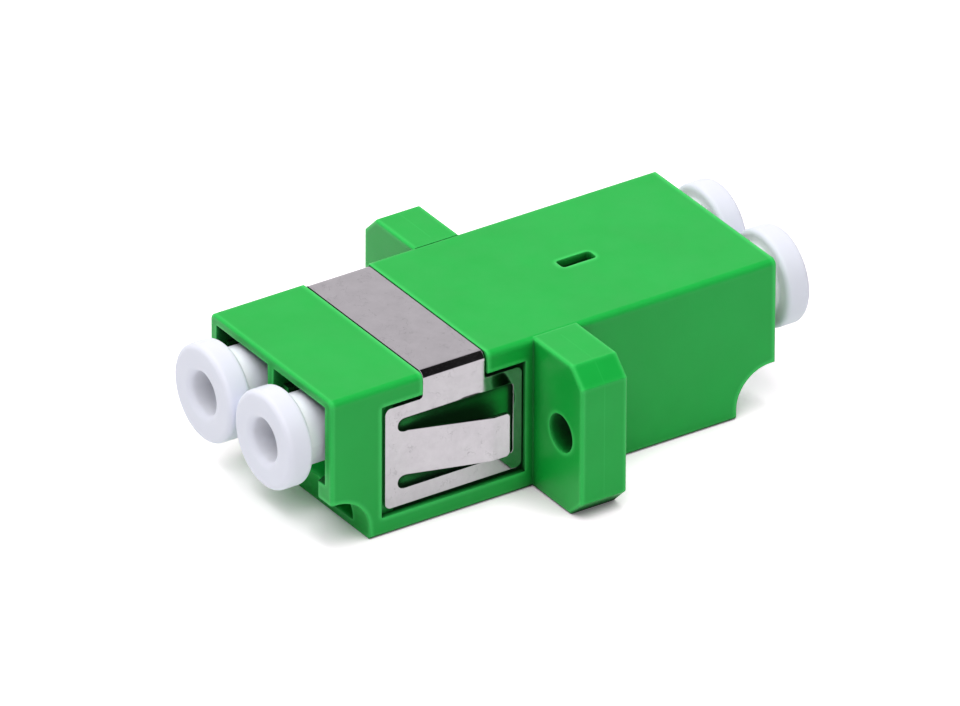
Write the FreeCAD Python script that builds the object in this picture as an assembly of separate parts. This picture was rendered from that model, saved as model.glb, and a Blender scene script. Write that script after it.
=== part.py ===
import FreeCAD, Part
import math
import os

from FreeCAD import Vector

# Duplex adapter for two pairs of small fibre connectors. X runs across the two ports, Y along the
# fibres from the front end to the rear end, and Z up. The origin is under the middle of the body.

# Sleeve and sleeve tube, from the ferrule outwards
ferrule_diameter = 1.25
sleeve_wall = 0.185
sleeve_length = 6.8
sleeve_slit = 0.2
sleeve_play = 0.05
sleeve_float = 0.15
tube_wall = 0.59
tube_lip = 1.85
entry_play = 0.08
entry_cone = 0.4

# Dust plug
plug_fit = 0.05
plug_wall = 0.6
plug_side_gap = 0.2
plug_height_gap = 0.4
plug_overlap = 2.0
plug_end_gap = 0.5
plug_web = 2.0
plug_hole_wall = 0.8
plug_hole_round = 0.4
plug_proud = 2.6
ring_thickness = 1.6
ring_gap = 0.35
ring_round = 0.35
neck_round = 0.15
stem_chamfer = 0.35

# Body
port_pitch = 6.25
body_length = 30.0
side_wall = 0.8
top_wall = 0.54
bulkhead = 1.4
top_round = 0.36
front_round = 0.17
bottom_round = 0.2

# Mouth of a port
mouth_wall = 0.66
mouth_partition = 0.6
mouth_depth = 0.65
ledge_depth = 3.2
ledge_drop = 1.2

# Latch notch and latch chamber under a port
notch_height = 2.95
notch_depth = 2.6
notch_radius = 2.3
shelf_thickness = 1.08
latch_width = 2.67
latch_floor = 0.45
latch_lead = 0.9
latch_lead_flare = 0.44
shoulder_depth = 4.0
wing_length = 4.0
wing_floor = 1.0

# Flange
flange_thickness = 3.08
flange_shift = 0.11
screw_spacing = 18.0
screw_hole_diameter = 2.35
ear_margin = 2.1
ear_chamfer = 1.1
ear_round = 0.15
ear_overlap = 0.2

# Snap window in the top of the body and the retainer's tooth
snap_distance = 5.58
snap_length = 2.3
snap_width = 0.85
snap_round = 0.22
tooth_gap = 0.1
tooth_width = 0.35
tooth_drop = 0.4
tooth_ramp = 1.1
arm_thickness = 0.55
arm_slot_height = 0.5
arm_slot_length = 5.0
retainer_fit = 0.06

# Panel clip
clip_thickness = 0.25
clip_recess = 0.15
clip_bend = 0.25
clip_front = 3.71
clip_back = 0.69
clip_foot = 1.48
clip_neck = 1.62
clip_corner = 0.4
clip_notch_round = 0.2
clip_gap = 0.33
clip_rear_gap = 0.15
strip_width = 4.15
strip_gap = 0.1
front_bar = 0.84
rear_bar = 0.59
top_bar = 0.9
bottom_bar = 1.06
upper_slot = 0.85
lower_slot = 0.82
window_corner = 0.22
tongue_root = 0.65
tongue_rise = 1.45
tongue_tip = 1.2
tongue_taper = 0.05
tongue_corner = 0.25
tongue_bend = 0.5
panel_space = 2.43

# Sizes that follow from the driving ones
sleeve_radius = ferrule_diameter / 2 + sleeve_wall
tube_bore = sleeve_radius + sleeve_play
tube_radius = tube_bore + tube_wall
tube_pocket = sleeve_length / 2 + sleeve_float
tube_reach = tube_pocket + tube_lip
entry_radius = ferrule_diameter / 2 + entry_play
socket_radius = tube_radius + plug_fit
stem_radius = socket_radius + plug_wall
port_half = stem_radius + plug_side_gap
port_x = port_pitch / 2
ring_radius = port_x - ring_gap / 2
shelf_top = notch_height + shelf_thickness
port_top = shelf_top + 2 * (stem_radius + plug_height_gap)
port_z = (shelf_top + port_top) / 2
partition_half = port_x - port_half
port_outer = port_x + port_half
half_width = port_outer + side_wall
half_length = body_length / 2
body_height = port_top + top_wall
ear_tip = screw_spacing / 2 + ear_margin
flange_front = flange_shift - flange_thickness / 2
leg_outer = half_width - clip_recess
leg_inner = leg_outer - clip_thickness
strip_under = body_height - clip_thickness
frame_y = (clip_front - half_length, flange_front - clip_back)
frame_z = (clip_foot, body_height - clip_neck)
strip_middle = sum(frame_y) / 2
strip_y = (strip_middle - strip_width / 2, strip_middle + strip_width / 2)
window_y = (frame_y[0] + front_bar, frame_y[1] - rear_bar)
window_z = (frame_z[0] + bottom_bar, frame_z[1] - top_bar)
tongue_z = (window_z[0] + lower_slot, window_z[1] - upper_slot)
bend_y = window_y[0] + tongue_root
tongue_end = flange_front - panel_space

# Spare length by which a cutting solid passes the face that it opens
past = 1.0

# Distance below which two places count as one when edges are picked
tolerance = 0.01


def block(x, y, z):
    """Box between two limits on each axis."""
    return Part.makeBox(x[1] - x[0], y[1] - y[0], z[1] - z[0], Vector(x[0], y[0], z[0]))


def widened(limits, gap):
    """The two limits moved apart by a gap at each end."""
    return limits[0] - gap, limits[1] + gap


def rod(radius, x, y):
    """Cylinder along Y at the height of the ports."""
    return Part.makeCylinder(radius, y[1] - y[0], Vector(x, y[0], port_z), Vector(0, 1, 0))


def mirrored_x(shape):
    """Copy on the other side of the adapter."""
    return shape.mirror(Vector(0, 0, 0), Vector(1, 0, 0))


def mirrored_y(shape):
    """Copy at the other end of the adapter."""
    return shape.mirror(Vector(0, 0, 0), Vector(0, 1, 0))


def on_both_sides(shapes):
    """Each shape, and its copy on the other side."""
    return shapes + [mirrored_x(shape) for shape in shapes]


def rounded_face(corners):
    """Flat face on a closed outline of (point, radius) corners, each rounded by its own radius."""
    edges = []
    runs = []
    for number, (corner, radius) in enumerate(corners):
        back = (corners[number - 1][0] - corner).normalize()
        ahead = (corners[(number + 1) % len(corners)][0] - corner).normalize()
        half_angle = back.getAngle(ahead) / 2
        reach = radius / math.tan(half_angle)
        start = corner + back * reach
        end = corner + ahead * reach
        if radius > 0:
            bisector = (back + ahead).normalize()
            middle = corner + bisector * (radius / math.sin(half_angle) - radius)
            edges.append(Part.Arc(start, middle, end).toShape())
        runs.append((start, end))
    for number, (start, end) in enumerate(runs):
        last_end = runs[number - 1][1]
        if last_end.distanceToPoint(start) > Part.Precision.confusion():
            edges.append(Part.makeLine(last_end, start))
    return Part.Face(Part.Wire(Part.__sortEdges__(edges)))


def slot_along_y(x, y, z):
    """Upright slot through a wall on X, with round ends."""
    radius = (z[1] - z[0]) / 2
    middle = sum(z) / 2
    across = Vector(1, 0, 0)
    ends = [Part.makeCylinder(radius, x[1] - x[0], Vector(x[0], end, middle), across)
            for end in (y[0] + radius, y[1] - radius)]
    return block(x, widened(y, -radius), z).multiFuse(ends)


def tube_solids():
    """The two front sleeve tubes, from inside the bulkhead to their tips."""
    return on_both_sides([rod(tube_radius, port_x, (-tube_reach, -bulkhead / 2))])


def tube_bores():
    """Front half of the room inside the two sleeve tubes: sleeve pocket, entry bore and entry cone."""
    pocket = rod(tube_bore, port_x, (-tube_pocket, 0))
    entry = rod(entry_radius, port_x, (-tube_reach - past, 0))
    tip = Vector(port_x, -tube_reach, port_z)
    cone = Part.makeCone(entry_radius + entry_cone, entry_radius, entry_cone, tip, Vector(0, 1, 0))
    return on_both_sides([pocket, entry, cone])


def rounded_bar():
    """Body as a plain bar with its moulded edge rounds."""
    bar = block((-half_width, half_width), (-half_length, half_length), (0, body_height))
    long_top = [edge for edge in bar.Edges
                if edge.BoundBox.ZMin > body_height - tolerance and edge.BoundBox.XLength < tolerance]
    bar = bar.makeFillet(top_round, long_top)
    front_rim = [edge for edge in bar.Edges
                 if edge.BoundBox.YMax < -half_length + tolerance and edge.BoundBox.ZMax > tolerance]
    bar = bar.makeFillet(front_round, front_rim)
    bottom_rim = [edge for edge in bar.Edges
                  if edge.BoundBox.ZMax < tolerance and edge.BoundBox.YMin < half_length - tolerance]
    return bar.makeFillet(bottom_round, bottom_rim)


def ear():
    """Flange ear on the +X side, with chamfered outer corners and a screw hole."""
    root = half_width - ear_overlap
    corners = [(root, 0), (ear_tip - ear_chamfer, 0), (ear_tip, ear_chamfer),
               (ear_tip, body_height - ear_chamfer), (ear_tip - ear_chamfer, body_height),
               (root, body_height)]
    face = rounded_face([(Vector(x, flange_front, z), 0) for x, z in corners])
    plate = face.extrude(Vector(0, flange_thickness, 0))
    rim = [edge for edge in plate.Edges
           if edge.BoundBox.YLength < tolerance and edge.BoundBox.XMax > root + tolerance]
    hole_start = Vector(screw_spacing / 2, flange_front - past, body_height / 2)
    hole_length = flange_thickness + 2 * past
    hole = Part.makeCylinder(screw_hole_diameter / 2, hole_length, hole_start, Vector(0, 1, 0))
    return plate.makeFillet(ear_round, rim).cut(hole)


def clip_seat():
    """Room for the clip: a pocket on each side, joined by a channel over the top."""
    core = block((-leg_inner, leg_inner), widened(strip_y, past), (0, strip_under))
    shoulders = [edge for edge in core.Edges
                 if edge.BoundBox.ZMin > strip_under - tolerance and edge.BoundBox.XLength < tolerance]
    core = core.makeFillet(clip_bend + strip_gap, shoulders)
    across = widened((-half_width, half_width), past)
    channel = block(across, widened(strip_y, strip_gap), (frame_z[1], body_height + past)).cut(core)
    pocket_y = (frame_y[0] - clip_gap, frame_y[1] + clip_rear_gap)
    pocket = block((leg_inner, half_width + past), pocket_y, widened(frame_z, clip_gap))
    return [channel, *on_both_sides([pocket])]


def notch():
    """Room for the latch under the front end of the body."""
    inner = notch_depth - half_length
    corners = [((-half_length - past, notch_height), 0), ((inner, notch_height), notch_radius),
               ((inner, -past), 0), ((-half_length - past, -past), 0)]
    face = rounded_face([(Vector(-half_width - past, y, z), radius) for (y, z), radius in corners])
    return face.extrude(Vector(2 * (half_width + past), 0, 0))


def latch_room():
    """Room for a latch below the +X front port: channel, flared entry and wing chamber."""
    front = -half_length
    half = latch_width / 2
    flare = half + latch_lead_flare
    height = (latch_floor, shelf_top + past)
    channel = block((port_x - half, port_x + half), (front - past, -bulkhead), height)
    wing_y = (front + shoulder_depth, front + shoulder_depth + wing_length)
    wings = block((partition_half, port_outer), wing_y, (wing_floor, shelf_top + past))
    lead = [(port_x - flare, front), (port_x + flare, front),
            (port_x + half, front + latch_lead), (port_x - half, front + latch_lead)]
    lead_face = rounded_face([(Vector(x, y, notch_height - past), 0) for x, y in lead])
    return [channel, wings, lead_face.extrude(Vector(0, 0, shelf_thickness + 2 * past))]


def mouth_room():
    """Widened mouth of the +X front port, with a ledge along each side wall."""
    front = -half_length - past
    x = (mouth_partition / 2, half_width - mouth_wall)
    full = block(x, (front, mouth_depth - half_length), (shelf_top, port_top))
    upper = block(x, (front, ledge_depth - half_length), (port_top - ledge_drop, port_top))
    return [full, upper]


def snap_window():
    """Slot through the top wall for the retainer's tooth."""
    half = snap_width / 2
    run = (snap_distance - snap_length / 2, snap_distance + snap_length / 2)
    corners = [(-half, run[0]), (half, run[0]), (half, run[1]), (-half, run[1])]
    face = rounded_face([(Vector(x, y, port_top - past), snap_round) for x, y in corners])
    return face.extrude(Vector(0, 0, top_wall + 2 * past))


def housing():
    """Body moulding with the flange, the front ports, the bulkhead and the front sleeve tubes."""
    outside = rounded_bar().multiFuse(on_both_sides([ear()])).removeSplitter()
    front_end = [notch(), *on_both_sides([*mouth_room(), *latch_room()])]
    rear_end = [mirrored_y(room) for room in front_end]
    port_height = (shelf_top, port_top)
    front_port = block((partition_half, port_outer), (-half_length - past, -bulkhead), port_height)
    rear_port = block((-port_outer, port_outer), (0, half_length + past), port_height)
    ports = [*on_both_sides([front_port]), rear_port]
    body = outside.cut([*front_end, *rear_end, *ports, snap_window(), *clip_seat()])
    return body.multiFuse(tube_solids()).cut(tube_bores()).removeSplitter()


def snap_tooth():
    """Ramped tooth on the partition's top edge that stands in the snap window."""
    half = tooth_width / 2
    foot = port_top - arm_thickness / 2
    top = body_height - tooth_drop
    lead = snap_distance - snap_length / 2 + tooth_gap
    catch = snap_distance + snap_length / 2 - tooth_gap
    corners = [(lead, foot), (catch, foot), (catch, top), (lead + tooth_ramp, top),
               (lead, port_top - retainer_fit)]
    face = rounded_face([(Vector(-half, y, z), 0) for y, z in corners])
    return face.extrude(Vector(2 * half, 0, 0))


def sleeve_retainer():
    """Insert pushed in from the rear: plate, rear sleeve tubes and partition with a snap tooth."""
    height = (shelf_top, port_top - retainer_fit)
    plate = block(widened((-port_outer, port_outer), -retainer_fit), (0, bulkhead), height)
    partition = block((-partition_half, partition_half), (0, half_length), height)
    body = plate.multiFuse([partition, *[mirrored_y(tube) for tube in tube_solids()]])
    rooms = [mirrored_y(room) for room in [*on_both_sides(mouth_room()), *tube_bores()]]
    slot_y = (snap_distance - arm_slot_length / 2, snap_distance + arm_slot_length / 2)
    slot_top = height[1] - arm_thickness
    across = widened((-partition_half, partition_half), past)
    arm_slot = slot_along_y(across, slot_y, (slot_top - arm_slot_height, slot_top))
    return body.cut([*rooms, arm_slot]).fuse(snap_tooth()).removeSplitter()


def sleeve(x):
    """Split ceramic sleeve that lines up two ferrules."""
    run = (-sleeve_length / 2, sleeve_length / 2)
    ring = rod(sleeve_radius, x, run).cut(rod(ferrule_diameter / 2, x, widened(run, past)))
    slit_x = (x - sleeve_slit / 2, x + sleeve_slit / 2)
    return ring.cut(block(slit_x, widened(run, past), (port_z, port_z + sleeve_radius + past)))


def clip_band():
    """Sheet bent over the top and down both sides, as long as the clip's legs."""
    foot = clip_foot
    outer_bend = clip_bend + clip_thickness
    corners = [((leg_outer, foot), 0), ((leg_outer, body_height), outer_bend),
               ((-leg_outer, body_height), outer_bend), ((-leg_outer, foot), 0),
               ((-leg_inner, foot), 0), ((-leg_inner, strip_under), clip_bend),
               ((leg_inner, strip_under), clip_bend), ((leg_inner, foot), 0)]
    face = rounded_face([(Vector(x, frame_y[0], z), radius) for (x, z), radius in corners])
    return face.extrude(Vector(0, frame_y[1] - frame_y[0], 0))


def clip_side_outline():
    """Side view of the clip: a leg with rounded corners and the neck that rises to the top strip."""
    crest = body_height + past
    corners = [((frame_y[0], frame_z[0]), clip_corner), ((frame_y[1], frame_z[0]), clip_corner),
               ((frame_y[1], frame_z[1]), clip_corner), ((strip_y[1], frame_z[1]), clip_notch_round),
               ((strip_y[1], crest), 0), ((strip_y[0], crest), 0),
               ((strip_y[0], frame_z[1]), clip_notch_round), ((frame_y[0], frame_z[1]), clip_corner)]
    across = half_width + past
    face = rounded_face([(Vector(-across, y, z), radius) for (y, z), radius in corners])
    return face.extrude(Vector(2 * across, 0, 0))


def leg_window():
    """Window through both legs, which runs on as a round-ended slot above and below the tongue's root."""
    lower_end = lower_slot / 2
    upper_end = upper_slot / 2
    corners = [((window_y[0], window_z[0]), lower_end), ((window_y[1], window_z[0]), window_corner),
               ((window_y[1], window_z[1]), window_corner), ((window_y[0], window_z[1]), upper_end),
               ((window_y[0], tongue_z[1]), upper_end), ((bend_y, tongue_z[1]), 0),
               ((bend_y, tongue_z[0]), 0), ((window_y[0], tongue_z[0]), lower_end)]
    across = half_width + past
    face = rounded_face([(Vector(-across, y, z), radius) for (y, z), radius in corners])
    return face.extrude(Vector(2 * across, 0, 0))


def tongue():
    """Sprung tongue on the +X side, bent outwards from its root, with its tip bent back."""
    kink_y = tongue_end - tongue_tip
    tip_outer = leg_outer + tongue_rise
    turn = math.atan(tongue_rise / (kink_y - bend_y))
    shift = clip_thickness * math.tan(turn / 2)
    root_y = window_y[0] - front_bar / 2
    wide_bend = tongue_bend + clip_thickness
    corners = [((leg_outer, root_y), 0), ((leg_outer, bend_y), tongue_bend),
               ((tip_outer, kink_y), wide_bend), ((tip_outer, tongue_end), 0),
               ((tip_outer - clip_thickness, tongue_end), 0),
               ((tip_outer - clip_thickness, kink_y + shift), tongue_bend),
               ((leg_inner, bend_y + shift), wide_bend), ((leg_inner, root_y), 0)]
    face = rounded_face([(Vector(x, y, tongue_z[0]), radius) for (x, y), radius in corners])
    strip = face.extrude(Vector(0, 0, tongue_z[1] - tongue_z[0]))
    sides = [((root_y, tongue_z[0]), 0), ((bend_y, tongue_z[0]), 0),
             ((tongue_end, tongue_z[0] + tongue_taper), tongue_corner),
             ((tongue_end, tongue_z[1] - tongue_taper), tongue_corner),
             ((bend_y, tongue_z[1]), 0), ((root_y, tongue_z[1]), 0)]
    side_face = rounded_face([(Vector(0, y, z), radius) for (y, z), radius in sides])
    return strip.common(side_face.extrude(Vector(tip_outer + past, 0, 0)))


def panel_clip():
    """Spring-steel stamping that holds the adapter in a panel."""
    blank = clip_band().common(clip_side_outline()).cut(leg_window())
    return blank.multiFuse(on_both_sides([tongue()])).removeSplitter()


def dust_plug(x):
    """Front dust plug: a grip ring, a stem in the port and a socket over the sleeve tube."""
    face = -half_length - plug_proud
    back = face + ring_thickness
    stem_end = plug_overlap - tube_reach
    socket_end = -tube_reach - plug_end_gap
    hole_radius = stem_radius - plug_hole_wall
    hole_end = socket_end - plug_web
    corners = [((hole_radius, face), plug_hole_round), ((hole_radius, hole_end), 0),
               ((0, hole_end), 0), ((0, socket_end), 0), ((socket_radius, socket_end), 0),
               ((socket_radius, stem_end), 0), ((stem_radius - stem_chamfer, stem_end), 0),
               ((stem_radius, stem_end - stem_chamfer), 0), ((stem_radius, back), neck_round),
               ((ring_radius, back), ring_round), ((ring_radius, face), ring_round)]
    profile = rounded_face([(Vector(r, y, 0), radius) for (r, y), radius in corners])
    plug = profile.revolve(Vector(0, 0, 0), Vector(0, 1, 0), 360)
    return plug.translated(Vector(x, 0, port_z))


nodes = {
    "housing": housing(),
    "sleeve_retainer": sleeve_retainer(),
    "sleeve_left": sleeve(-port_x),
    "sleeve_right": sleeve(port_x),
    "panel_clip": panel_clip(),
    "dust_plug_front_left": dust_plug(-port_x),
    "dust_plug_front_right": dust_plug(port_x),
    "dust_plug_rear_left": mirrored_y(dust_plug(-port_x)),
    "dust_plug_rear_right": mirrored_y(dust_plug(port_x)),
}

os.makedirs("parts", exist_ok=True)
for name, shape in nodes.items():
    shape.exportStep(f"parts/{name}.step")
    solids = len(shape.Solids)
    print(f"{name}: {solids} solid, {shape.Volume:.2f} cubic mm, valid {shape.isValid()}")
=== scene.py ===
import math

import bpy
from mathutils import Matrix, Vector

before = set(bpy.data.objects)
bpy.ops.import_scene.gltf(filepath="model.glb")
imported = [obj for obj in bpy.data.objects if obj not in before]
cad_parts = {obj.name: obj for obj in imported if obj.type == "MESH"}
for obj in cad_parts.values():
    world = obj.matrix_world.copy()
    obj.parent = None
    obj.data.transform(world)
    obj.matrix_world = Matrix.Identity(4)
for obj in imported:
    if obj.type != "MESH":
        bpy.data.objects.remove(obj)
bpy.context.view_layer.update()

MM = 0.001
WHITE = (1.0, 1.0, 1.0, 1.0)

# Noise values that the patterns run between. Each pattern is (scale, detail) or
# (scale, detail, roughness)
NOISE_RANGE = (0.3, 0.7)
OCCLUSION_SAMPLES = 12
BEVEL_SAMPLES = 8

# Green plastic
GREEN_COLOURS = ((0.003, 0.408, 0.043, 1.0), (0.004, 0.445, 0.05, 1.0))
# Painted highlight that pales the edges, also the colour of the parting line
GREEN_HIGHLIGHT_AND_PARTING_COLOUR = (0.083, 0.845, 0.184, 1.0)
# Painted shade in the deepest recesses
GREEN_PAINTED_SHADE_COLOUR = (0.0, 0.02, 0.001, 1.0)
GREEN_CLOUD = (260.0, 4.0)
GREEN_GLOSS = (700.0, 3.0)
GREEN_ROUGHNESS = (0.34, 0.42)
GREEN_GRAIN = (900.0, 2.0)
GREEN_GRAIN_STRENGTH = 0.06
GREEN_GRAIN_DEPTH = 0.02 * MM
GREEN_EDGE_ROUND = 0.15 * MM
GREEN_IOR = 1.5
GREEN_SPECULAR = 0.34
GREEN_SPECULAR_TINT = (0.72, 0.95, 1.0, 1.0)

# How far painted shade darkens the green plastic into its recesses and a painted highlight
# pales its edges, and the openness from its darkest to its plain colour: in general, in the
# clip's pockets and in the screw holes
PAINTED_RECESS_REACH = 2.0 * MM
EDGE_HIGHLIGHT_REACH = 0.35 * MM
EDGE_HIGHLIGHT_RANGE = (0.97, 0.65)
EDGE_HIGHLIGHT_STRENGTH = 0.5
OWN_RANGE = (0.25, 0.92)
AMONG_ALL_RANGE = (0.12, 0.62)
BEHIND_CLIP_RANGE = (0.76, 0.95)
IN_HOLE_RANGE = (0.71, 0.87)

# Deep recesses in the green plastic where extra shade is painted: the floor of the clip's
# pockets, and the screw holes
POCKET_FLOOR = 5.825 * MM
POCKET_SLACK = 0.03 * MM
POCKET_MIDDLE = -6.0 * MM
POCKET_REACH = 4.6 * MM
HOLE_OUT = 9.0 * MM
HOLE_UP = 4.785 * MM
HOLE_RADIUS = 1.19 * MM

# Parting line round the ears
PARTING_PLACE = 0.11 * MM
PARTING_WIDTH = 0.05 * MM
PARTING_STRENGTH = 0.12
EAR_START = 6.6 * MM

# Spring steel, with the satin face of the clip's strip
STEEL_COLOURS = ((0.445, 0.415, 0.445, 1.0), (0.5, 0.468, 0.5, 1.0))
STEEL_BLOTCH = (900.0, 6.0, 0.7)
STEEL_BLOTCH_RANGE = (0.35, 0.65)
STEEL_ROUGHNESS = (0.05, 0.1)
STEEL_GRAIN = (1800.0, 3.0)
STEEL_GRAIN_STRENGTH = 0.04
STEEL_GRAIN_DEPTH = 0.01 * MM
STEEL_EDGE_ROUND = 0.06 * MM
STRIP_TOP = 9.565 * MM
STRIP_FADE = 0.015 * MM
STRIP_SATIN = 0.32

# Scratches in the steel, which follow a noise's middle line within patches
SCRATCH_COLOUR = (0.26, 0.24, 0.26, 1.0)
SCRATCH_RUN = (1500.0, 3.0)
SCRATCH_MIDDLE = 0.5
SCRATCH_WIDTH = 0.014
SCRATCH_PATCH = (1100.0, 2.0)
SCRATCH_PATCH_RANGE = (0.5, 0.58)
SCRATCH_STRENGTH = 0.6

# White plastic, and how much paler its hollows are painted, as painted light for light through
# it
PLUG_COLOURS = ((0.855, 0.868, 0.99, 1.0), (0.867, 0.878, 0.995, 1.0))
PLUG_PAINTED_GLOW_COLOUR = (0.985, 0.985, 0.995, 1.0)
PLUG_PAINTED_GLOW_RANGE = (0.95, 0.6)
PLUG_CLOUD = (400.0, 4.0)
PLUG_GLOSS = (1500.0, 4.0)
PLUG_ROUGHNESS = (0.4, 0.52)
PLUG_IOR = 1.47
PLUG_SPECULAR = 0.9
PLUG_SPECULAR_TINT = (0.82, 0.84, 1.0, 1.0)
PLUG_SUBSURFACE = 0.25
PLUG_SUBSURFACE_RADIUS = (1.0, 1.0, 1.0)
PLUG_SUBSURFACE_SCALE = 0.6 * MM

# Ceramic
CERAMIC_COLOURS = ((0.80, 0.79, 0.76, 1.0), (0.85, 0.84, 0.82, 1.0))
CERAMIC_CLOUD = (2000.0, 3.0)
CERAMIC_GLOSS = (3000.0, 3.0)
CERAMIC_ROUGHNESS = (0.12, 0.2)
CERAMIC_IOR = 2.1

# The photograph's camera
IMAGE_WIDTH = 960
SENSOR_WIDTH = 36.0
FOCAL_PIXELS = 21489.4
CAMERA_PLACE = Vector((876.143, -584.896, 606.144)) * MM
CAMERA_CLIP = (0.1, 10.0)
AZIMUTH = math.radians(56.3146)
ELEVATION = math.radians(29.7024)
ROLL = math.radians(0.2697)

# Light on the object from the room, and the dark flag that the clip's bend mirrors
ROOM_LIGHT = 0.1
FLAG_ACROSS = (0.0, 1.0, 0.0)
FLAG_PLACE = 0.4818
FLAG_HALF = (0.06, 0.13)
FLAG_UP = (0.45, 0.0, 0.89)
FLAG_START = (0.3, 0.48)
FLAG_DARK = 0.98

# Overhead lamp, in metres and watts
LAMP_PLACE = (0.0, -0.1, 0.6)
LAMP_TARGET = (0.0, 0.0, 0.0)
LAMP_SIZE = (1.0, 0.7)
LAMP_POWER = 6.2

# Floor, which the camera and the gloss see as white, with a shadow where the object meets it,
# partly real and partly painted by dimming the floor's glow near the object
FLOOR_HALF = 1.5
FLOOR_DROP = 0.02 * MM
FLOOR_COLOUR = (0.9, 0.9, 0.9, 1.0)
FLOOR_ROUGHNESS = 0.9
FLOOR_SEEN = 0.62
FLOOR_MIRRORED = 0.3
SHADOW_COLOUR = (0.94, 0.83, 0.91, 1.0)
# Painted contact shadow: how far the floor's glow is dimmed near the object, its tilt and
# falloff
PAINTED_SHADOW_REACH = 3.0 * MM
PAINTED_SHADOW_TILT = (0.5, 0.25, 0.83)
PAINTED_SHADOW_POWER = 2.0


def make_camera():
    """Long lens at the photograph's place, angle and roll."""
    data = bpy.data.cameras.new("camera")
    data.sensor_fit = "HORIZONTAL"
    data.sensor_width = SENSOR_WIDTH
    data.lens = FOCAL_PIXELS * SENSOR_WIDTH / IMAGE_WIDTH
    data.clip_start, data.clip_end = CAMERA_CLIP
    camera = bpy.data.objects.new("camera", data)
    bpy.context.scene.collection.objects.link(camera)
    back = Vector((math.sin(AZIMUTH) * math.cos(ELEVATION),
                   -math.cos(AZIMUTH) * math.cos(ELEVATION),
                   math.sin(ELEVATION)))
    right = Vector((0, 0, 1)).cross(back).normalized()
    up = back.cross(right)
    turned_right = right * math.cos(ROLL) + up * math.sin(ROLL)
    turned_up = up * math.cos(ROLL) - right * math.sin(ROLL)
    turn = Matrix((turned_right, turned_up, back)).transposed().to_4x4()
    camera.matrix_world = Matrix.Translation(CAMERA_PLACE) @ turn
    bpy.context.scene.camera = camera


class Nodes:
    """Shorthand for building one node tree."""

    def __init__(self, tree):
        self.tree = tree
        self.tree.nodes.clear()

    def add(self, kind, inputs=(), **settings):
        """New node with settings, and with inputs given as {socket: value or output socket}."""
        node = self.tree.nodes.new(kind)
        for key, value in settings.items():
            setattr(node, key, value)
        for socket, value in dict(inputs).items():
            self.put(node, socket, value)
        return node

    def put(self, node, socket, value):
        """Sets an input's value, or links it to an output."""
        target = node.inputs[socket]
        if isinstance(value, bpy.types.NodeSocket):
            self.tree.links.new(value, target)
        else:
            target.default_value = value

    def place(self):
        """Where a point is on the object, in metres."""
        return self.add("ShaderNodeTexCoord").outputs["Object"]

    def split(self, vector):
        """A vector's X, Y and Z."""
        return self.add("ShaderNodeSeparateXYZ", {0: vector}).outputs

    def math(self, operation, first, second=0.0):
        """One sum on two numbers."""
        node = self.add("ShaderNodeMath", {0: first, 1: second}, operation=operation)
        return node.outputs[0]

    def dot(self, first, second):
        """Dot product of two vectors."""
        node = self.add("ShaderNodeVectorMath", {0: first, 1: second}, operation="DOT_PRODUCT")
        return node.outputs["Value"]

    def near(self, value, middle, reach):
        """1 within reach of the middle, and 0 outside."""
        node = self.add("ShaderNodeMath", {0: value, 1: middle, 2: reach}, operation="COMPARE")
        return node.outputs[0]

    def occlusion(self, reach, inside=False, only_local=False, facing=None):
        """How open the surface is among all pieces, or among its own faces alone.

        Inside the piece, it falls towards the edges. Facing turns the side that is looked from.
        """
        node = self.add("ShaderNodeAmbientOcclusion", {"Distance": reach},
                        samples=OCCLUSION_SAMPLES, inside=inside, only_local=only_local)
        if facing is not None:
            self.put(node, "Normal", facing)
        return node.outputs["AO"]

    def noise(self, vector, scale, detail, roughness=0.55):
        """Noise pattern over a vector."""
        node = self.add("ShaderNodeTexNoise", {"Vector": vector, "Scale": scale,
                                               "Detail": detail, "Roughness": roughness})
        return node.outputs["Fac"]

    def spread(self, value, low, high, to_low, to_high, smooth=False):
        """Maps a range onto another, held at both ends."""
        node = self.add("ShaderNodeMapRange",
                        {"Value": value, "From Min": low, "From Max": high,
                         "To Min": to_low, "To Max": to_high},
                        clamp=True, interpolation_type="SMOOTHSTEP" if smooth else "LINEAR")
        return node.outputs[0]

    def cloud(self, vector, pattern, low=0.0, high=1.0):
        """Noise pattern spread between two values."""
        return self.spread(self.noise(vector, *pattern), *NOISE_RANGE, low, high)

    def mix(self, factor, first, second):
        """Colour between two colours."""
        node = self.add("ShaderNodeMix", data_type="RGBA")
        self.put(node, 0, factor)
        self.put(node, 6, first)
        self.put(node, 7, second)
        return node.outputs[2]

    def blend(self, factor, first, second):
        """Number between two numbers."""
        node = self.add("ShaderNodeMix", {0: factor, 2: first, 3: second}, data_type="FLOAT")
        return node.outputs[0]

    def grained(self, vector, pattern, strength, depth, edge_round):
        """Normal with a fine grain, softened near edges."""
        rounded = self.add("ShaderNodeBevel", {"Radius": edge_round}, samples=BEVEL_SAMPLES)
        bump = self.add("ShaderNodeBump", {"Strength": strength, "Distance": depth,
                                           "Height": self.noise(vector, *pattern),
                                           "Normal": rounded.outputs[0]})
        return bump.outputs[0]


def material(name):
    """New node material, its node builder and its main shader."""
    made = bpy.data.materials.new(name)
    made.use_nodes = True
    nodes = Nodes(made.node_tree)
    shader = nodes.add("ShaderNodeBsdfPrincipled")
    output = nodes.add("ShaderNodeOutputMaterial")
    made.node_tree.links.new(shader.outputs[0], output.inputs["Surface"])
    return made, nodes, shader


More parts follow.
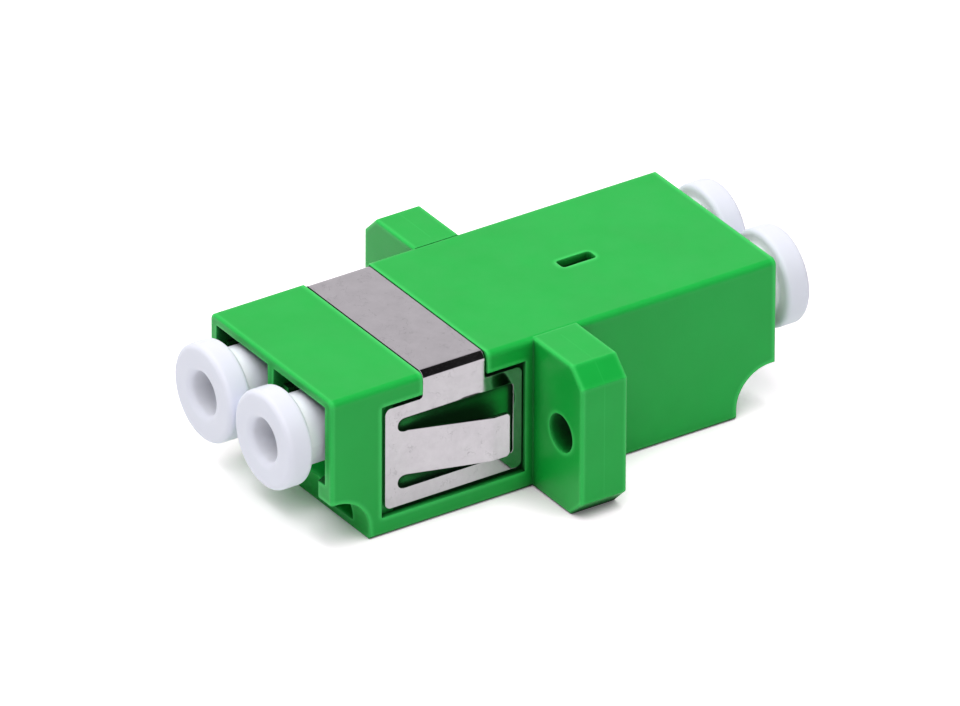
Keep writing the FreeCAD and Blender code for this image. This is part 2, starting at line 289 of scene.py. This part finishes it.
def extra_shade_places(nodes, place):
    """Masks of the floor of the clip's pockets and of the screw holes, for extra painted shade.
    """
    x, y, z = nodes.split(place)
    out = nodes.math("ABSOLUTE", x)
    pocket = nodes.math("MULTIPLY", nodes.near(out, POCKET_FLOOR, POCKET_SLACK),
                        nodes.near(y, POCKET_MIDDLE, POCKET_REACH))
    across = nodes.math("POWER", nodes.math("SUBTRACT", out, HOLE_OUT), 2.0)
    along = nodes.math("POWER", nodes.math("SUBTRACT", z, HOLE_UP), 2.0)
    hole = nodes.math("LESS_THAN", nodes.math("ADD", across, along), HOLE_RADIUS ** 2)
    return pocket, hole


def green_painted_shade_openness(nodes, place):
    """Painted shade: from 0 in the green plastic's deepest recesses to 1 on its open faces."""
    pocket, hole = extra_shade_places(nodes, place)
    own = nodes.occlusion(PAINTED_RECESS_REACH, only_local=True)
    among_all = nodes.occlusion(PAINTED_RECESS_REACH)
    behind_clip = nodes.spread(among_all, *BEHIND_CLIP_RANGE, 0.0, 1.0, smooth=True)
    in_hole = nodes.spread(own, *IN_HOLE_RANGE, 0.0, 1.0, smooth=True)
    plain = nodes.math("MINIMUM", nodes.spread(own, *OWN_RANGE, 0.0, 1.0, smooth=True),
                       nodes.spread(among_all, *AMONG_ALL_RANGE, 0.0, 1.0, smooth=True))
    return nodes.blend(hole, nodes.blend(pocket, plain, behind_clip), in_hole)


def parting_line(nodes, place):
    """1 on the mould's faint parting line round the ears."""
    x, y, _ = nodes.split(place)
    ear = nodes.math("GREATER_THAN", nodes.math("ABSOLUTE", x), EAR_START)
    off = nodes.math("ABSOLUTE", nodes.math("SUBTRACT", y, PARTING_PLACE))
    return nodes.math("MULTIPLY", ear, nodes.spread(off, 0.0, PARTING_WIDTH, 1.0, 0.0))


def green_plastic():
    """Glossy moulded plastic, faintly clouded, with painted highlights on edges, painted shade
    in recesses.
    """
    made, nodes, shader = material("green_plastic")
    place = nodes.place()
    flat_colour = nodes.mix(nodes.cloud(place, GREEN_CLOUD), *GREEN_COLOURS)
    # Painted highlight: the colour pales towards the edges
    edge_highlight = nodes.spread(nodes.occlusion(EDGE_HIGHLIGHT_REACH, inside=True, only_local=True),
                        *EDGE_HIGHLIGHT_RANGE, 0.0, EDGE_HIGHLIGHT_STRENGTH)
    line = nodes.math("MULTIPLY", parting_line(nodes, place), PARTING_STRENGTH)
    open_colour = nodes.mix(nodes.math("MAXIMUM", edge_highlight, line), flat_colour, GREEN_HIGHLIGHT_AND_PARTING_COLOUR)
    # Painted shade: the colour darkens into recesses, most behind the clip and in the screw
    # holes
    free_of_painted_shade = green_painted_shade_openness(nodes, place)
    gloss = nodes.cloud(place, GREEN_GLOSS, *GREEN_ROUGHNESS)
    nodes.put(shader, "Base Color", nodes.mix(free_of_painted_shade, GREEN_PAINTED_SHADE_COLOUR, open_colour))
    nodes.put(shader, "Roughness",
              nodes.math("MAXIMUM", gloss, nodes.math("SUBTRACT", 1.0, free_of_painted_shade)))
    nodes.put(shader, "Normal", nodes.grained(place, GREEN_GRAIN, GREEN_GRAIN_STRENGTH,
                                              GREEN_GRAIN_DEPTH, GREEN_EDGE_ROUND))
    nodes.put(shader, "IOR", GREEN_IOR)
    nodes.put(shader, "Specular IOR Level", GREEN_SPECULAR)
    nodes.put(shader, "Specular Tint", GREEN_SPECULAR_TINT)
    return made


def scratches(nodes, place):
    """How strongly a scratch marks the steel."""
    run = nodes.math("ABSOLUTE", nodes.math("SUBTRACT", nodes.noise(place, *SCRATCH_RUN),
                                            SCRATCH_MIDDLE))
    patch = nodes.spread(nodes.noise(place, *SCRATCH_PATCH), *SCRATCH_PATCH_RANGE,
                         0.0, SCRATCH_STRENGTH)
    return nodes.math("MULTIPLY", nodes.spread(run, 0.0, SCRATCH_WIDTH, 1.0, 0.0), patch)


def spring_steel():
    """Bright sheet with blotches and scratches, satin on the strip and burnished elsewhere."""
    made, nodes, shader = material("spring_steel")
    place = nodes.place()
    blotch = nodes.noise(place, *STEEL_BLOTCH)
    sheet = nodes.mix(nodes.spread(blotch, *STEEL_BLOTCH_RANGE, 0.0, 1.0), *STEEL_COLOURS)
    up = nodes.split(place)["Z"]
    satin = nodes.spread(up, STRIP_TOP - STRIP_FADE, STRIP_TOP, 0.0, STRIP_SATIN)
    gloss = nodes.spread(blotch, *NOISE_RANGE, *STEEL_ROUGHNESS)
    nodes.put(shader, "Base Color", nodes.mix(scratches(nodes, place), sheet, SCRATCH_COLOUR))
    nodes.put(shader, "Metallic", 1.0)
    nodes.put(shader, "Roughness", nodes.math("ADD", gloss, satin))
    nodes.put(shader, "Normal", nodes.grained(place, STEEL_GRAIN, STEEL_GRAIN_STRENGTH,
                                              STEEL_GRAIN_DEPTH, STEEL_EDGE_ROUND))
    return made


def white_plastic():
    """Soft white plug plastic that lets some light through, with its hollows painted paler as
    painted light.
    """
    made, nodes, shader = material("white_plastic")
    place = nodes.place()
    outer_colour = nodes.mix(nodes.cloud(place, PLUG_CLOUD), *PLUG_COLOURS)
    # Painted light: the hollows are painted paler, standing in for light through the plastic
    painted_glow = nodes.spread(nodes.occlusion(PAINTED_RECESS_REACH, only_local=True),
                          *PLUG_PAINTED_GLOW_RANGE, 0.0, 1.0)
    nodes.put(shader, "Base Color", nodes.mix(painted_glow, outer_colour, PLUG_PAINTED_GLOW_COLOUR))
    nodes.put(shader, "Roughness", nodes.cloud(place, PLUG_GLOSS, *PLUG_ROUGHNESS))
    nodes.put(shader, "IOR", PLUG_IOR)
    nodes.put(shader, "Specular IOR Level", PLUG_SPECULAR)
    nodes.put(shader, "Specular Tint", PLUG_SPECULAR_TINT)
    nodes.put(shader, "Subsurface Weight", PLUG_SUBSURFACE)
    nodes.put(shader, "Subsurface Radius", PLUG_SUBSURFACE_RADIUS)
    nodes.put(shader, "Subsurface Scale", PLUG_SUBSURFACE_SCALE)
    return made


def ceramic():
    """Polished white ceramic."""
    made, nodes, shader = material("ceramic")
    place = nodes.place()
    colour = nodes.mix(nodes.cloud(place, CERAMIC_CLOUD), *CERAMIC_COLOURS)
    nodes.put(shader, "Base Color", colour)
    nodes.put(shader, "Roughness", nodes.cloud(place, CERAMIC_GLOSS, *CERAMIC_ROUGHNESS))
    nodes.put(shader, "IOR", CERAMIC_IOR)
    return made


def dress():
    """Gives each CAD node its material."""
    green = green_plastic()
    white = white_plastic()
    pale = ceramic()
    steel = spring_steel()
    looks = {"housing": green, "sleeve_retainer": green, "panel_clip": steel,
             "sleeve_left": pale, "sleeve_right": pale,
             "dust_plug_front_left": white, "dust_plug_front_right": white,
             "dust_plug_rear_left": white, "dust_plug_rear_right": white}
    for name, look in looks.items():
        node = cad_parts[name]
        node.data.materials.clear()
        node.data.materials.append(look)


def floor_white():
    """White floor that the camera and the gloss see as lit, apart from the object's shadow,
    partly painted.
    """
    made, nodes, shader = material("floor_white")
    path = nodes.add("ShaderNodeLightPath").outputs
    mirrored = nodes.math("MAXIMUM", path["Is Glossy Ray"], path["Is Transmission Ray"])
    seen = nodes.math("ADD", nodes.math("MULTIPLY", path["Is Camera Ray"], FLOOR_SEEN),
                      nodes.math("MULTIPLY", mirrored, FLOOR_MIRRORED))
    tilt = nodes.add("ShaderNodeCombineXYZ", dict(enumerate(PAINTED_SHADOW_TILT))).outputs[0]
    # Painted shadow: the floor's glow is dimmed where the object is near
    free_of_painted_shade = nodes.math("POWER", nodes.occlusion(PAINTED_SHADOW_REACH, facing=tilt), PAINTED_SHADOW_POWER)
    nodes.put(shader, "Base Color",
              nodes.mix(path["Is Camera Ray"], FLOOR_COLOUR, SHADOW_COLOUR))
    nodes.put(shader, "Roughness", FLOOR_ROUGHNESS)
    nodes.put(shader, "Specular IOR Level", 0.0)
    nodes.put(shader, "Emission Color", WHITE)
    nodes.put(shader, "Emission Strength", nodes.math("MULTIPLY", seen, free_of_painted_shade))
    return made


def make_floor():
    """Wide white floor that keeps the object's real shadow and a painted contact shadow."""
    half = FLOOR_HALF
    mesh = bpy.data.meshes.new("floor")
    corners = [(-half, -half, 0), (half, -half, 0), (half, half, 0), (-half, half, 0)]
    mesh.from_pydata(corners, [], [(0, 1, 2, 3)])
    floor = bpy.data.objects.new("floor", mesh)
    bpy.context.scene.collection.objects.link(floor)
    floor.location.z = -FLOOR_DROP
    mesh.materials.append(floor_white())


def make_world():
    """White to the camera, bright with one dark flag to gloss, and a dim room to the rest."""
    world = bpy.data.worlds.new("room")
    world.use_nodes = True
    world.cycles.sampling_method = "NONE"
    bpy.context.scene.world = world
    nodes = Nodes(world.node_tree)
    path = nodes.add("ShaderNodeLightPath").outputs
    way = nodes.add("ShaderNodeTexCoord").outputs["Generated"]
    off = nodes.math("ABSOLUTE",
                     nodes.math("SUBTRACT", nodes.dot(way, FLAG_ACROSS), FLAG_PLACE))
    band = nodes.spread(off, *FLAG_HALF, FLAG_DARK, 0.0, smooth=True)
    reach = nodes.spread(nodes.dot(way, FLAG_UP), *FLAG_START, 0.0, 1.0, smooth=True)
    shown = nodes.math("SUBTRACT", 1.0, nodes.math("MULTIPLY", band, reach))
    glossy = nodes.math("MULTIPLY", path["Is Glossy Ray"],
                        nodes.math("SUBTRACT", shown, ROOM_LIGHT))
    light = nodes.math("ADD", glossy, ROOM_LIGHT)
    seen = nodes.math("MAXIMUM", path["Is Camera Ray"], path["Is Transmission Ray"])
    strength = nodes.math("MAXIMUM", light, seen)
    room = nodes.add("ShaderNodeBackground", {"Color": WHITE, "Strength": strength})
    output = nodes.add("ShaderNodeOutputWorld")
    world.node_tree.links.new(room.outputs[0], output.inputs["Surface"])


def make_lamp():
    """Soft light panel overhead, which the camera and the gloss don't see."""
    data = bpy.data.lights.new("overhead", "AREA")
    data.shape = "RECTANGLE"
    data.size, data.size_y = LAMP_SIZE
    data.energy = LAMP_POWER
    lamp = bpy.data.objects.new("overhead", data)
    bpy.context.scene.collection.objects.link(lamp)
    lamp.location = LAMP_PLACE
    lamp.rotation_mode = "QUATERNION"
    aim = Vector(LAMP_TARGET) - Vector(LAMP_PLACE)
    lamp.rotation_quaternion = aim.to_track_quat("-Z", "Y")
    lamp.visible_camera = False
    lamp.visible_glossy = False


make_camera()
dress()
make_floor()
make_world()
make_lamp()

bpy.context.scene.view_settings.view_transform = "Standard"
